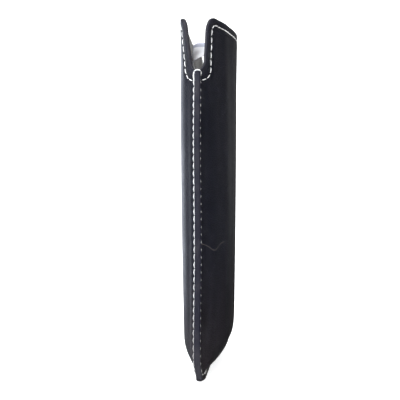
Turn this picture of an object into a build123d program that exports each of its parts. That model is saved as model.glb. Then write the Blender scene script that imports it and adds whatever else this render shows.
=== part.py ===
"""Leather slip case: two bowed panels sewn together down both sides and along the bottom.

Frame: +Z up towards the mouth, X across the width, the front panel faces -Y.
The origin is the middle of the bottom edge, on the plane where the two linings meet.
All sizes are in millimetres.
"""
from build123d import *
import math
import os

# Overall size
case_height = 140.0
case_width = 78.0

# Finger notches cut out of both side edges at the mouth
notch_depth = 22.5
notch_width = 5.6
notch_radius = 5.0
mouth_corner_radius = 6.5
bottom_corner_radius = 5.0

# Plies, measured across the flat seam: lining next to the mid plane, leather outside
lining_thickness = 0.4
leather_thickness = 0.8
seam_half = lining_thickness + leather_thickness
edge_coat = 0.5
lining_gap = 0.06

# How far the panels bow out of the seam
seam_width = 3.5
front_bow = 11.0
back_bow = 8.3
front_foot_fullness = 3.9
front_mouth_fullness = 1.7
back_foot_fullness = 4.5
back_mouth_fullness = 4.5
front_foot_run = 14.8
back_foot_run = 11.0
front_foot_roundness = 0.56
back_foot_roundness = 0.49
front_taper = 0.14
back_taper = 0.235
taper_curve = 2.4

# Above the end of the seam the free corners splay outwards
front_splay = 3.1
back_splay = 5.0
splay_start = 118.0

# Share of the bow that each inner ply follows, which leaves room for the stiffener
lining_bow_share = {-1: 0.943, 1: 0.898}
board_inner_share = {-1: 0.953, 1: 0.910}
board_outer_share = {-1: 0.992, 1: 0.990}
board_half_width = 27.0
board_bottom = 12.0

# Thread
stitch_pitch = 2.85
stitch_length = 2.2
thread_width = 0.55
thread_height = 0.3
stitch_inset = 2.5
mouth_stitch_inset = 3.0
thread_clearance = 0.1
seam_stitch_start = 0.4
tack_lift = 0.45
tack_fall = 3.2

# Lift ribbon: flat against the back lining, then turned edge-on to it at its free end
ribbon_width = 8.0
ribbon_thickness = 0.5
ribbon_clearance = 1.0
ribbon_foot = 10.0
ribbon_turn_start = 126.8
ribbon_turn_end = 134.0
ribbon_top = 136.6
ribbon_end_gap = 0.3

# Derived places
half_width = case_width / 2
bow_edge = half_width - seam_width
notch_floor = case_height - notch_depth
section_reach = case_height + 2.0
bow = {-1: front_bow, 1: back_bow}
foot_fullness = {-1: front_foot_fullness, 1: back_foot_fullness}
mouth_fullness = {-1: front_mouth_fullness, 1: back_mouth_fullness}
foot_run = {-1: front_foot_run, 1: back_foot_run}
foot_roundness = {-1: front_foot_roundness, 1: back_foot_roundness}
taper = {-1: front_taper, 1: back_taper}
splay = {-1: front_splay, 1: back_splay}
side_name = {-1: "front", 1: "back"}


def foot_profile(z, side):
    """Share of the full bow at height z, from nothing at the bottom seam."""
    rise = min(max((z - seam_width) / foot_run[side], 0.0), 1.0)
    lean = 1 - taper[side] * max(1 - z / case_height, 0.0) ** taper_curve
    return (1 - (1 - rise) ** 2) ** foot_roundness[side] * lean


def eased(value):
    """A smooth step from 0 to 1."""
    held = min(max(value, 0.0), 1.0)
    return held * held * (3 - 2 * held)


def bow_at(x, z, side):
    """Distance that a panel stands out of the seam plane at x, z."""
    up = min(z / case_height, 1.0)
    fullness = foot_fullness[side] + (mouth_fullness[side] - foot_fullness[side]) * up
    reach = bow_edge + splay[side] * eased((z - splay_start) / (case_height - splay_start))
    across = max(1 - abs(x / reach) ** fullness, 0.0)
    return bow[side] * foot_profile(z, side) * across


def section_levels(side, lowest):
    """Heights of the cross-sections that a ply is lofted through."""
    foot_top = seam_width + foot_run[side]
    foot_count = 8
    foot = [lowest + (foot_top - lowest) * (i / foot_count) ** 1.5 for i in range(foot_count + 1)]
    mouth_count = 5
    rise = section_reach - splay_start
    mouth = [splay_start + rise * i / mouth_count for i in range(mouth_count + 1)]
    return foot + [(foot_top + splay_start) / 2] + mouth


def bowed_curve(side, z, gap, share, reach):
    """Points of a ply's face across the case, from -X to +X, closer together near the seams."""
    count = 18
    places = [reach * math.sin(math.pi * (i / count - 0.5)) for i in range(count + 1)]
    return [(x, side * (gap + share * bow_at(x, z, side))) for x in places]


def ply_section(side, z, inner, outer, reach):
    """One closed cross-section of a ply; inner and outer are (gap, share) pairs."""
    outside = bowed_curve(side, z, outer[0], outer[1], reach)
    inside = bowed_curve(side, z, inner[0], inner[1], reach)
    with BuildSketch(Plane.XY.offset(z)) as section:
        with BuildLine():
            Spline(*outside)
            Spline(*inside)
            Line(outside[0], inside[0])
            Line(outside[-1], inside[-1])
        make_face()
    return section.sketch


def bowed_ply(side, inner, outer):
    """A ply with a flat flange at both sides and the bottom, before it is cut to outline."""
    with BuildPart() as ply:
        sections = [
            ply_section(side, z, inner, outer, half_width)
            for z in section_levels(side, seam_width)
        ]
        loft(sections, ruled=True)
        with BuildSketch(Plane.XY):
            with Locations((0, side * (inner[0] + outer[0]) / 2)):
                Rectangle(case_width, outer[0] - inner[0])
        extrude(amount=seam_width)
    return ply.part


def panel_outline(inset):
    """The flat outline of a panel: a tall rectangle with a notch at each top corner."""
    left = -half_width
    corners = [
        (left, 0),
        (-left, 0),
        (-left, notch_floor),
        (-left - notch_width, notch_floor),
        (-left - notch_width, case_height),
        (left + notch_width, case_height),
        (left + notch_width, notch_floor),
        (left, notch_floor),
    ]
    with BuildSketch(Plane.XZ) as outline:
        with BuildLine():
            Polyline(*corners, close=True)
        make_face()
        rows = outline.vertices().group_by(Axis.Y)
        fillet(rows[0], bottom_corner_radius)
        fillet(rows[-1], mouth_corner_radius)
        inner_corners = outline.vertices().filter_by_position(Axis.Y, notch_floor - 0.1, notch_floor + 0.1)
        fillet(inner_corners.sort_by(lambda point: abs(point.X))[:2], notch_radius)
        if inset > 0:
            offset(amount=-inset, kind=Kind.INTERSECTION, mode=Mode.REPLACE)
    return outline.sketch


def cut_to(stock, outline, label):
    """A ply cut to an outline, as a finished piece."""
    with BuildPart() as piece:
        add(stock)
        extrude(outline, amount=2 * case_width, both=True, mode=Mode.INTERSECT)
    piece.part.label = label
    export_step(piece.part, f"parts/{label}.step")
    return piece.part


def rim_outline(mouth):
    """The narrow coated band round a panel: the mouth's stretch, or the sides and bottom."""
    split_height = notch_floor - edge_coat
    with BuildSketch(Plane.XZ) as rim:
        add(panel_outline(0))
        add(panel_outline(edge_coat), mode=Mode.SUBTRACT)
        if mouth:
            with Locations((0, (split_height + section_reach) / 2)):
                Rectangle(2 * case_width, section_reach - split_height, mode=Mode.INTERSECT)
        else:
            with Locations((0, split_height / 2)):
                Rectangle(2 * case_width, split_height, mode=Mode.INTERSECT)
    return rim.sketch


def surface_point(x, z, side):
    """A point on the outside of a panel."""
    return Vector(x, side * (seam_half + bow_at(x, z, side)), z)


def surface_plane(x, z, along, side):
    """A plane that lies on a panel, with its own x along a stitch line."""
    step = 0.2
    slope_x = surface_point(x + step, z, side) - surface_point(x - step, z, side)
    slope_z = surface_point(x, z + step, side) - surface_point(x, z - step, side)
    normal = slope_z.cross(slope_x).normalized() * side
    run = slope_x.normalized() * along.X + slope_z.normalized() * along.Y
    origin = surface_point(x, z, side) + normal * thread_clearance
    return Plane(origin=origin, x_dir=run, z_dir=normal)


def stitch_row(path, start, side, label):
    """A row of separate stitches along a flat path of (x, z), laid on a panel."""
    length = path.length
    count = round((length - 2 * start) / stitch_pitch)
    pitch = (length - 2 * start) / count
    with BuildPart() as row:
        for i in range(count):
            place = (start + pitch * (i + 0.5)) / length
            point = path.position_at(place)
            along = path.tangent_at(place)
            with BuildSketch(surface_plane(point.X, point.Y, along, side)):
                SlotOverall(stitch_length, thread_width)
            extrude(amount=thread_height)
    row.part.label = label
    export_step(row.part, f"parts/{label}.step")


def seam_tack(x, label):
    """A thread that passes over the end of a seam, from the front face to the back."""
    reach = seam_half + thread_clearance
    top = notch_floor + tack_lift + thread_clearance
    with BuildPart() as tack:
        with BuildSketch(Plane.YZ.offset(x)) as loop:
            with Locations((0, top - tack_fall / 2 + thread_width / 2)):
                Rectangle(2 * (reach + thread_height), tack_fall + thread_width)
            fillet(loop.vertices().group_by(Axis.Y)[-1], thread_width)
            with Locations((0, top - tack_fall / 2)):
                Rectangle(2 * reach, tack_fall, mode=Mode.SUBTRACT)
        extrude(amount=thread_width / 2, both=True)
    tack.part.label = label
    export_step(tack.part, f"parts/{label}.step")


def back_wall(z):
    """Place across the case of a ribbon that lies along the back lining."""
    return lining_gap + lining_bow_share[1] * bow_at(0, z, 1) - ribbon_clearance - ribbon_thickness / 2


def ribbon_section(z):
    """The ribbon's cross-section at a height, turned about its own length near its free end."""
    turned = eased((z - ribbon_turn_start) / (ribbon_turn_end - ribbon_turn_start))
    shift = turned * (ribbon_width / 2 - ribbon_thickness / 2 + ribbon_end_gap)
    with BuildSketch(Plane.XY.offset(z)) as section:
        with Locations((0, back_wall(z) - shift)):
            Rectangle(ribbon_width, ribbon_thickness, rotation=90 * turned)
    return section.sketch


def ribbon_levels():
    """Heights of the ribbon's cross-sections: close in the foot and through the turn."""
    foot_steps = 4
    foot_height = seam_width + back_foot_run - ribbon_foot
    foot = [ribbon_foot + foot_height * i / foot_steps for i in range(foot_steps + 1)]
    turn_steps = 14
    turn_height = ribbon_turn_end - ribbon_turn_start
    turn = [ribbon_turn_start + turn_height * i / turn_steps for i in range(turn_steps + 1)]
    return foot + turn + [ribbon_top]


os.makedirs("parts", exist_ok=True)

# The panels: leather outside, a stiffening board, a lining inside and a coated mouth edge
inner_outline = panel_outline(edge_coat)
mouth_rim = rim_outline(True)
seam_rim = rim_outline(False)
for side, name in side_name.items():
    share = lining_bow_share[side]
    shell_stock = bowed_ply(side, (lining_thickness, 1.0), (seam_half, 1.0))
    cut_to(shell_stock, inner_outline, f"{name}_shell")
    lining_stock = bowed_ply(side, (lining_gap, share), (lining_thickness, share))
    cut_to(lining_stock, inner_outline, f"{name}_lining")
    edge_stock = bowed_ply(side, (lining_gap, share), (seam_half, 1.0))
    cut_to(edge_stock, mouth_rim, f"{name}_mouth_edge")
    with BuildPart() as board:
        board_sections = [
            ply_section(
                side,
                z,
                (lining_thickness, board_inner_share[side]),
                (lining_thickness, board_outer_share[side]),
                board_half_width,
            )
            for z in section_levels(side, board_bottom)
        ]
        loft(board_sections, ruled=True)
        extrude(inner_outline, amount=2 * case_width, both=True, mode=Mode.INTERSECT)
    board.part.label = f"{name}_stiffener"
    export_step(board.part, f"parts/{name}_stiffener.step")

# The coated edge round the sides and the bottom
with BuildPart() as seam_edge:
    extrude(seam_rim, amount=seam_half, both=True)
seam_edge.part.label = "seam_edge"
export_step(seam_edge.part, "parts/seam_edge.step")

# Stitch lines as flat (x, z) paths
stitch_side = half_width - stitch_inset
mouth_side = half_width - notch_width - mouth_stitch_inset
with BuildLine() as seam_line:
    FilletPolyline(
        (-stitch_side, notch_floor - mouth_stitch_inset - thread_width),
        (-stitch_side, stitch_inset),
        (stitch_side, stitch_inset),
        (stitch_side, notch_floor - mouth_stitch_inset - thread_width),
        radius=bottom_corner_radius - stitch_inset,
    )
with BuildLine() as mouth_line:
    FilletPolyline(
        (-half_width, notch_floor - mouth_stitch_inset),
        (-mouth_side, notch_floor - mouth_stitch_inset),
        (-mouth_side, case_height - mouth_stitch_inset),
        (mouth_side, case_height - mouth_stitch_inset),
        (mouth_side, notch_floor - mouth_stitch_inset),
        (half_width, notch_floor - mouth_stitch_inset),
        radius=[
            notch_radius + mouth_stitch_inset,
            mouth_corner_radius - mouth_stitch_inset,
            mouth_corner_radius - mouth_stitch_inset,
            notch_radius + mouth_stitch_inset,
        ],
    )
for side, name in side_name.items():
    stitch_row(seam_line.wire(), seam_stitch_start, side, f"{name}_seam_stitches")
    stitch_row(mouth_line.wire(), stitch_inset + thread_width, side, f"{name}_mouth_stitches")
seam_tack(-stitch_side, "near_seam_tack")
seam_tack(stitch_side, "far_seam_tack")

# The lift ribbon
with BuildPart() as lift_ribbon:
    loft([ribbon_section(z) for z in ribbon_levels()], ruled=True)
lift_ribbon.part.label = "lift_ribbon"
export_step(lift_ribbon.part, "parts/lift_ribbon.step")
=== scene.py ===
"""Looks of a slim stitched leather slip case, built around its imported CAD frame.

Everything is in metres in the case's own frame: X across the width, Z up towards the mouth,
the front panel on -Y and the back panel on +Y, the middle of the bottom edge at the origin.
"""

from collections.abc import Callable
from dataclasses import dataclass, field
from enum import Enum
import logging
import math

import bpy
import numpy as np
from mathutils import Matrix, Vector


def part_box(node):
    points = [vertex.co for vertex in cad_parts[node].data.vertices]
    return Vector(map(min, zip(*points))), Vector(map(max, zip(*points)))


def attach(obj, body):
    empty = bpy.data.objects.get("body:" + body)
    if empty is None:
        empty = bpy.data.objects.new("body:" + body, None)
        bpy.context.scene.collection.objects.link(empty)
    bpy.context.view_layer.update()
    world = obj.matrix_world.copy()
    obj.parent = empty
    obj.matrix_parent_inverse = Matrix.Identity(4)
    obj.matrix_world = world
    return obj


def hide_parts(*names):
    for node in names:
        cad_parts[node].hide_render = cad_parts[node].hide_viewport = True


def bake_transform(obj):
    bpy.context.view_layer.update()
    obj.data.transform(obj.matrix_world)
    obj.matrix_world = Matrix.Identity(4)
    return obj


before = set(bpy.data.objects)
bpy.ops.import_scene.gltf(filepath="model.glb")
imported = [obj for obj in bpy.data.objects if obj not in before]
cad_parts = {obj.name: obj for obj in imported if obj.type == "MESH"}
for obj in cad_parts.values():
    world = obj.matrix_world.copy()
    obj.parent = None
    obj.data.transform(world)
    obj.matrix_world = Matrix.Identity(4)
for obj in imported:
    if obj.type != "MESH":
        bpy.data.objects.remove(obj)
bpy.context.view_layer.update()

log = logging.getLogger("slip_case")
MM = 0.001
CASE = "case"
STITCH_PITCH = 2.85 * MM
SEAM_STITCH_INSET = 2.5 * MM
MOUTH_STITCH_INSET = 3.0 * MM
EDGE_COAT = 0.5 * MM
SEAM_HALF = 1.2 * MM


class Side(Enum):
    """The two panels, by the sign of the Y side that they stand on."""

    FRONT = -1
    BACK = 1

    @property
    def word(self) -> str:
        """The name that the CAD nodes of this side start with."""
        return self.name.lower()


# ---------------------------------------------------------------- shader expressions


class Link:
    """A shader socket that can be used in Python arithmetic."""

    def __init__(self, graph: "Graph", socket: bpy.types.NodeSocket) -> None:
        """Keeps the graph that new nodes are added to, and the socket."""
        self.graph = graph
        self.socket = socket

    def _math(self, operation: str, first: "Link | float", second: "Link | float") -> "Link":
        """Adds a Math node.

        Args:
            operation: the node's operation.
            first: a number or a link.
            second: a number or a link.

        Returns:
            The node's result.
        """
        return self.graph.node("ShaderNodeMath", {"operation": operation}, {0: first, 1: second})

    def __add__(self, other: "Link | float") -> "Link":
        """Sum."""
        return self._math("ADD", self, other)

    __radd__ = __add__

    def __sub__(self, other: "Link | float") -> "Link":
        """Difference."""
        return self._math("SUBTRACT", self, other)

    def __rsub__(self, other: "Link | float") -> "Link":
        """Difference, from a number."""
        return self._math("SUBTRACT", other, self)

    def __mul__(self, other: "Link | float") -> "Link":
        """Product."""
        return self._math("MULTIPLY", self, other)

    __rmul__ = __mul__

    def __truediv__(self, other: "Link | float") -> "Link":
        """Quotient."""
        return self._math("DIVIDE", self, other)

    def clamp(self) -> "Link":
        """The value held between 0 and 1."""
        return self.graph.node("ShaderNodeClamp", {}, {"Value": self})


class Graph:
    """A material's node tree, filled by plain calls."""

    def __init__(self, name: str) -> None:
        """Starts an empty material."""
        self.material = bpy.data.materials.new(name)
        self.material.use_nodes = True
        self.tree = self.material.node_tree
        self.tree.nodes.clear()

    def node(self, kind: str, settings: dict, inputs: dict, output: int | str = 0) -> Link | None:
        """Adds one node.

        Args:
            kind: the node's type.
            settings: values set on the node first; "stops" sets a colour ramp's stops.
            inputs: socket name or number to a number, a colour or a Link.
            output: name or number of the socket to return.

        Returns:
            The chosen output, or None from a node that has no outputs.
        """
        made = self.tree.nodes.new(kind)
        for key, value in settings.items():
            if key == "stops":
                self._set_stops(made.color_ramp, value)
            else:
                setattr(made, key, value)
        for key, value in inputs.items():
            if isinstance(value, Link):
                self.tree.links.new(value.socket, made.inputs[key])
            else:
                made.inputs[key].default_value = value
        return Link(self, made.outputs[output]) if made.outputs else None

    @staticmethod
    def _set_stops(ramp: bpy.types.ColorRamp, stops: list) -> None:
        """Gives a ramp its stops, as (place, grey) or (place, colour) pairs."""
        while len(ramp.elements) < len(stops):
            ramp.elements.new(1.0)
        for element, (place, value) in zip(ramp.elements, stops):
            element.position = place
            element.color = (value, value, value, 1) if isinstance(value, float) else value

    def place(self) -> Link:
        """Object coordinates, in metres."""
        return self.node("ShaderNodeTexCoord", {}, {}, "Object")

    def axis(self, place: Link, name: str) -> Link:
        """One of a place's coordinates, "X", "Y" or "Z"."""
        return self.node("ShaderNodeSeparateXYZ", {}, {"Vector": place}, name)

    def curved(self, operation: str, value: Link) -> Link:
        """A value passed through a Math node with one input, such as SINE."""
        return self.node("ShaderNodeMath", {"operation": operation}, {0: value})

    def attribute(self, name: str) -> Link:
        """A number that a mesh carries at its points."""
        return self.node("ShaderNodeAttribute", {"attribute_name": name}, {}, "Fac")

    def noise(self, place: Link, scale: float, detail: float = 3.0, roughness: float = 0.5) -> Link:
        """Soft noise from 0 to 1."""
        sizes = {"Vector": place, "Scale": scale, "Detail": detail, "Roughness": roughness}
        return self.node("ShaderNodeTexNoise", {}, sizes)

    def stretched(self, place: Link, scale: tuple) -> Link:
        """Coordinates scaled apart along the axes."""
        return self.node("ShaderNodeMapping", {}, {"Vector": place, "Scale": scale})

    def ramp(self, value: Link, stops: list) -> Link:
        """A value passed through a ramp of stops."""
        return self.node("ShaderNodeValToRGB", {"stops": stops}, {"Fac": value})

    def blend(self, share: Link, first: Link | tuple, second: Link | tuple) -> Link:
        """A mix of two colours."""
        settings = {"data_type": "RGBA"}
        return self.node("ShaderNodeMix", settings, {0: share, 6: first, 7: second}, 2)

    def bump(self, height: Link, distance: float, strength: float, under: Link | None = None) -> Link:
        """A bump of that height in metres, on top of another one if given."""
        inputs = {"Height": height, "Distance": distance, "Strength": strength}
        if under is not None:
            inputs["Normal"] = under
        return self.node("ShaderNodeBump", {}, inputs)

    def surface(self, inputs: dict) -> bpy.types.Material:
        """Ends the material in a Principled shader with those inputs."""
        shader = self.node("ShaderNodeBsdfPrincipled", {}, inputs)
        self.node("ShaderNodeOutputMaterial", {}, {"Surface": shader})
        return self.material


# ---------------------------------------------------------------- finishes


def colour(red: float, green: float, blue: float) -> tuple:
    """An opaque colour."""
    return (red, green, blue, 1.0)


@dataclass(frozen=True)
class LeatherFinish:
    """Black calf leather: a tight pebble, soft creases up the case, rubbed edges with a painted highlight
    along them, painted shade in the pebble's pits and beside the thread.
    """

    deep: tuple = colour(0.0034, 0.0038, 0.0082)
    lit: tuple = colour(0.0088, 0.0093, 0.0158)
    brown: tuple = colour(0.0200, 0.0125, 0.0100)
    rubbed_and_lit: tuple = colour(0.050, 0.049, 0.054)
    pit_shade: tuple = colour(0.0025, 0.0026, 0.0042)
    groove_shade: tuple = colour(0.003, 0.003, 0.004)
    hair: tuple = colour(0.11, 0.10, 0.09)
    roughness: float = 0.44
    grain_scale: float = 2100.0
    pore_scale: float = 5200.0
    brown_top: float = 50.0 * MM
    scuff_top: float = 24.0 * MM
    scratch_x: tuple = (-36.2 * MM, -30.0 * MM, -22.5 * MM)
    scratch_z: float = 52.5 * MM
    scratch_dip: float = 2.9 * MM
    scratch_span: float = 3.2 * MM
    scratch_width: float = 0.16 * MM

    def material(self) -> bpy.types.Material:
        """Builds the leather."""
        g = Graph("black_leather")
        place = g.place()
        warp = g.noise(place, 420.0, 2.0)
        warped = g.node("ShaderNodeVectorMath", {"operation": "MULTIPLY_ADD"},
                        {0: g.node("ShaderNodeTexNoise", {}, {"Vector": place, "Scale": 900.0}, "Color"),
                         1: (0.0004, 0.0004, 0.0004), 2: place})
        cells = g.node("ShaderNodeTexVoronoi", {"feature": "SMOOTH_F1"},
                       {"Vector": warped, "Scale": self.grain_scale, "Smoothness": 0.35})
        pebble = g.ramp(cells, [(0.0, 1.0), (0.35, 0.82), (0.75, 0.0)])
        pores = g.noise(place, self.pore_scale, 2.0, 0.6)
        creases = g.noise(g.stretched(place, (150.0, 150.0, 38.0)), 1.0, 3.0, 0.55)
        crease_lines = g.ramp(creases, [(0.44, 0.0), (0.50, 1.0), (0.56, 0.0)])
        mottled = g.noise(place, 62.0, 4.0, 0.6)
        broad = g.noise(g.stretched(place, (30.0, 30.0, 12.0)), 1.0, 2.0)
        wear_and_highlight = g.attribute("edge_wear_and_highlight")
        press = g.attribute("thread_groove_shade")
        height = g.axis(place, "Z")
        low = (1 - height / self.brown_top).clamp()

        tone = g.blend((mottled * 1.6 - 0.3).clamp(), self.deep, self.lit)
        # Painted shade: darker in the hollows of the pebble grain.
        tone = g.blend(((1 - pebble) * 0.45).clamp(), tone, self.pit_shade)
        tone = g.blend((low * broad * 0.9).clamp(), tone, self.brown)
        behind = (g.axis(place, "Y") / (2 * MM)).clamp()
        foot = (1 - height / self.scuff_top).clamp() * (behind * 0.9 + 0.1)
        tone = g.blend((foot * (mottled + 0.25) * 0.75).clamp(), tone, self.rubbed_and_lit)
        tone = g.blend((crease_lines * 0.05).clamp(), tone, self.rubbed_and_lit)
        # Paler along the rims: rubbed wear and a painted highlight of the lit edge.
        worn_and_lit = ((wear_and_highlight * (mottled * 0.9 + 0.35)) * 0.5).clamp()
        tone = g.blend(worn_and_lit, tone, self.rubbed_and_lit)
        # Painted shade in the groove beside the thread.
        tone = g.blend((press * 0.55).clamp(), tone, self.groove_shade)
        tone = g.blend(self._scratch(g, place), tone, self.hair)

        rough = self.roughness + (pores - 0.5) * 0.16 + (mottled - 0.5) * 0.22 - wear_and_highlight * 0.08
        relief = g.bump(pebble * 0.7 + pores * 0.3, 0.00011, 0.75)
        relief = g.bump(creases, 0.0011, 0.09, relief)
        relief = g.bump(warp, 0.0004, 0.12, relief)
        return g.surface({
            "Base Color": tone,
            "Roughness": rough.clamp(),
            "Normal": relief,
            "Specular IOR Level": 0.22,
        })

    def _scratch(self, g: Graph, place: Link) -> Link:
        """One fine wavy scratch low on the front panel, from 0 to 1."""
        x, y, z = (g.axis(place, name) for name in "XYZ")
        start, lowest, end = self.scratch_x
        along = (x - lowest) / self.scratch_span
        dip = g.curved("EXPONENT", along * along * -1)
        away = g.curved("ABSOLUTE", z - self.scratch_z + dip * self.scratch_dip)
        thin = (1 - away / self.scratch_width).clamp()
        within = ((x - start) / MM).clamp() * ((end - x) / MM).clamp()
        return thin * within * (y / -MM).clamp() * 0.8


@dataclass(frozen=True)
class LiningFinish:
    """Napped brown-grey lining cloth."""

    dark: tuple = colour(0.030, 0.027, 0.024)
    light: tuple = colour(0.066, 0.060, 0.054)

    def material(self) -> bpy.types.Material:
        """Builds the lining."""
        g = Graph("napped_lining")
        place = g.place()
        nap = g.noise(place, 2600.0, 3.0, 0.7)
        brushed = g.noise(g.stretched(place, (420.0, 420.0, 120.0)), 1.0, 3.0)
        tone = g.blend((nap * 0.6 + brushed * 0.6 - 0.1).clamp(), self.dark, self.light)
        relief = g.bump(nap, 0.00012, 0.6)
        return g.surface({
            "Base Color": tone,
            "Roughness": (0.86 + (nap - 0.5) * 0.12).clamp(),
            "Normal": relief,
            "Sheen Weight": 0.35,
            "Sheen Roughness": 0.45,
        })


@dataclass(frozen=True)
class EdgeFinish:
    """Burnished, coated leather edge, a little bluer and smoother than the leather."""

    base: tuple = colour(0.0060, 0.0063, 0.0130)
    worn_and_lit: tuple = colour(0.060, 0.056, 0.056)
    foot_top: float = 20.0 * MM

    def material(self) -> bpy.types.Material:
        """Builds the edge coat."""
        g = Graph("coated_edge")
        place = g.place()
        fibres = g.noise(g.stretched(place, (900.0, 2600.0, 260.0)), 1.0, 4.0, 0.6)
        patches = g.noise(place, 150.0, 4.0, 0.62)
        wear_and_highlight = g.attribute("edge_wear_and_highlight")
        foot = (1 - g.axis(place, "Z") / self.foot_top).clamp()
        bare = g.ramp(patches, [(0.46, 0.0), (0.72, 1.0)])
        # The edge attribute pales the outer crest: rubbed wear and a painted highlight.
        share = (bare * 0.2 + wear_and_highlight * 0.22 + foot * 0.22).clamp()
        tone = g.blend(share, self.base, self.worn_and_lit)
        relief = g.bump(fibres, 0.00010, 0.5)
        relief = g.bump(patches, 0.0004, 0.2, relief)
        return g.surface({
            "Base Color": tone,
            "Roughness": (0.42 + (fibres - 0.5) * 0.3 + share * 0.15).clamp(),
            "Normal": relief,
            "Specular IOR Level": 0.12,
        })


@dataclass(frozen=True)
class ThreadFinish:
    """Waxed off-white thread."""

    clean: tuple = colour(0.74, 0.74, 0.73)
    soiled: tuple = colour(0.30, 0.29, 0.28)
    soiled_top: float = 45.0 * MM

    def material(self) -> bpy.types.Material:
        """Builds the thread."""
        g = Graph("waxed_thread")
        place = g.place()
        fibres = g.noise(place, 4200.0, 3.0, 0.7)
        soil = g.noise(place, 130.0, 4.0, 0.6)
        low = (1 - g.axis(place, "Z") / self.soiled_top).clamp()
        patches = g.ramp(soil, [(0.42, 0.0), (0.75, 1.0)])
        share = (patches * 0.6 + (fibres - 0.5) * 0.35 + low * 1.1).clamp()
        return g.surface({
            "Base Color": g.blend(share, self.clean, self.soiled),
            "Roughness": (0.55 + (fibres - 0.5) * 0.3).clamp(),
            "Normal": g.bump(fibres, 0.00006, 0.5),
            "Sheen Weight": 0.2,
        })


@dataclass(frozen=True)
class RibbonFinish:
    """White satin ribbon with a pale grey painted shade along its free end and edges."""

    white: tuple = colour(0.93, 0.93, 0.95)
    border: tuple = colour(0.42, 0.43, 0.52)
    shade: tuple = colour(0.30, 0.31, 0.36)
    end_shade_width: float = 4.0 * MM

    def material(self) -> bpy.types.Material:
        """Builds the ribbon."""
        g = Graph("satin_ribbon")
        across = g.attribute("across")
        from_end = g.attribute("from_end")
        # Painted shade: a pale grey band at the free end, where the ribbon turns over, and along its edges.
        end_shade = g.ramp(from_end / self.end_shade_width, [(0.40, 1.0), (0.52, 0.0)])
        edge = (g.ramp(across, [(0.86, 0.0), (0.92, 1.0)]) * 0.6 + end_shade).clamp()
        weft = g.curved("SINE", from_end * 9000.0)
        warp = g.curved("SINE", across * 70.0)
        weave = weft * warp * 0.5 + 0.5
        soft = g.noise(g.place(), 260.0, 3.0)
        tone = g.blend(edge, self.white, self.border)
        tone = g.blend((weave * 0.10 + (soft - 0.5) * 0.2).clamp(), tone, self.shade)
        return g.surface({
            "Base Color": tone,
            "Roughness": (0.42 + weave * 0.12).clamp(),
            "Normal": g.bump(weave, 0.00005, 0.4),
            "Sheen Weight": 0.3,
        })


@dataclass(frozen=True)
class BoardFinish:
    """Grey-brown fibre board."""

    base: tuple = colour(0.21, 0.175, 0.13)
    fleck: tuple = colour(0.10, 0.08, 0.06)

    def material(self) -> bpy.types.Material:
        """Builds the board."""
        g = Graph("fibre_board")
        fibres = g.noise(g.stretched(g.place(), (700.0, 700.0, 160.0)), 1.0, 5.0, 0.7)
        return g.surface({
            "Base Color": g.blend(g.ramp(fibres, [(0.45, 0.0), (0.7, 1.0)]), self.base, self.fleck),
            "Roughness": (0.8 + (fibres - 0.5) * 0.2).clamp(),
            "Normal": g.bump(fibres, 0.00008, 0.5),
        })


# ---------------------------------------------------------------- the shape of the case


def smooth(value: np.ndarray) -> np.ndarray:
    """Smooth step of a value from 0 to 1."""
    held = np.clip(value, 0.0, 1.0)
    return held * held * (3 - 2 * held)


def rounded_path(corners: list, radii: list, step: float) -> np.ndarray:
    """Points along a line of straight runs with rounded corners.

    Args:
        corners: the (x, z) corners, ends included.
        radii: one radius for each inner corner; 0 keeps it sharp.
        step: the longest distance between points.

    Returns:
        An array of (x, z) points.
    """
    spots = [np.array(corners[0], float)]
    for i, radius in enumerate(radii, start=1):
        corner = np.array(corners[i], float)
        back = np.array(corners[i - 1], float) - corner
        ahead = np.array(corners[i + 1], float) - corner
        back /= np.linalg.norm(back)
        ahead /= np.linalg.norm(ahead)
        half = math.acos(float(np.clip(back @ ahead, -1, 1))) / 2
        reach = radius / math.tan(half)
        start, end = corner + back * reach, corner + ahead * reach
        middle = back + ahead
        centre = corner + middle / np.linalg.norm(middle) * radius / math.sin(half)
        turn = math.pi - 2 * half
        count = max(2, math.ceil(turn * radius / step))
        first, last = start - centre, end - centre
        for j in range(count + 1):
            share = j / count
            spoke = (math.sin((1 - share) * turn) * first + math.sin(share * turn) * last) / math.sin(turn)
            spots.append(centre + spoke)
    spots.append(np.array(corners[-1], float))
    return resampled(np.array(spots), step)


def resampled(spots: np.ndarray, step: float) -> np.ndarray:
    """A line's points set at even distances, no further apart than step."""
    lengths = np.concatenate([[0.0], np.cumsum(np.linalg.norm(np.diff(spots, axis=0), axis=1))])
    keep = np.concatenate([[True], np.diff(lengths) > 1e-9])
    spots, lengths = spots[keep], lengths[keep]
    count = max(2, math.ceil(lengths[-1] / step))
    wanted = np.linspace(0.0, lengths[-1], count + 1)
    return np.stack([np.interp(wanted, lengths, spots[:, k]) for k in range(spots.shape[1])], axis=1)


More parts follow.
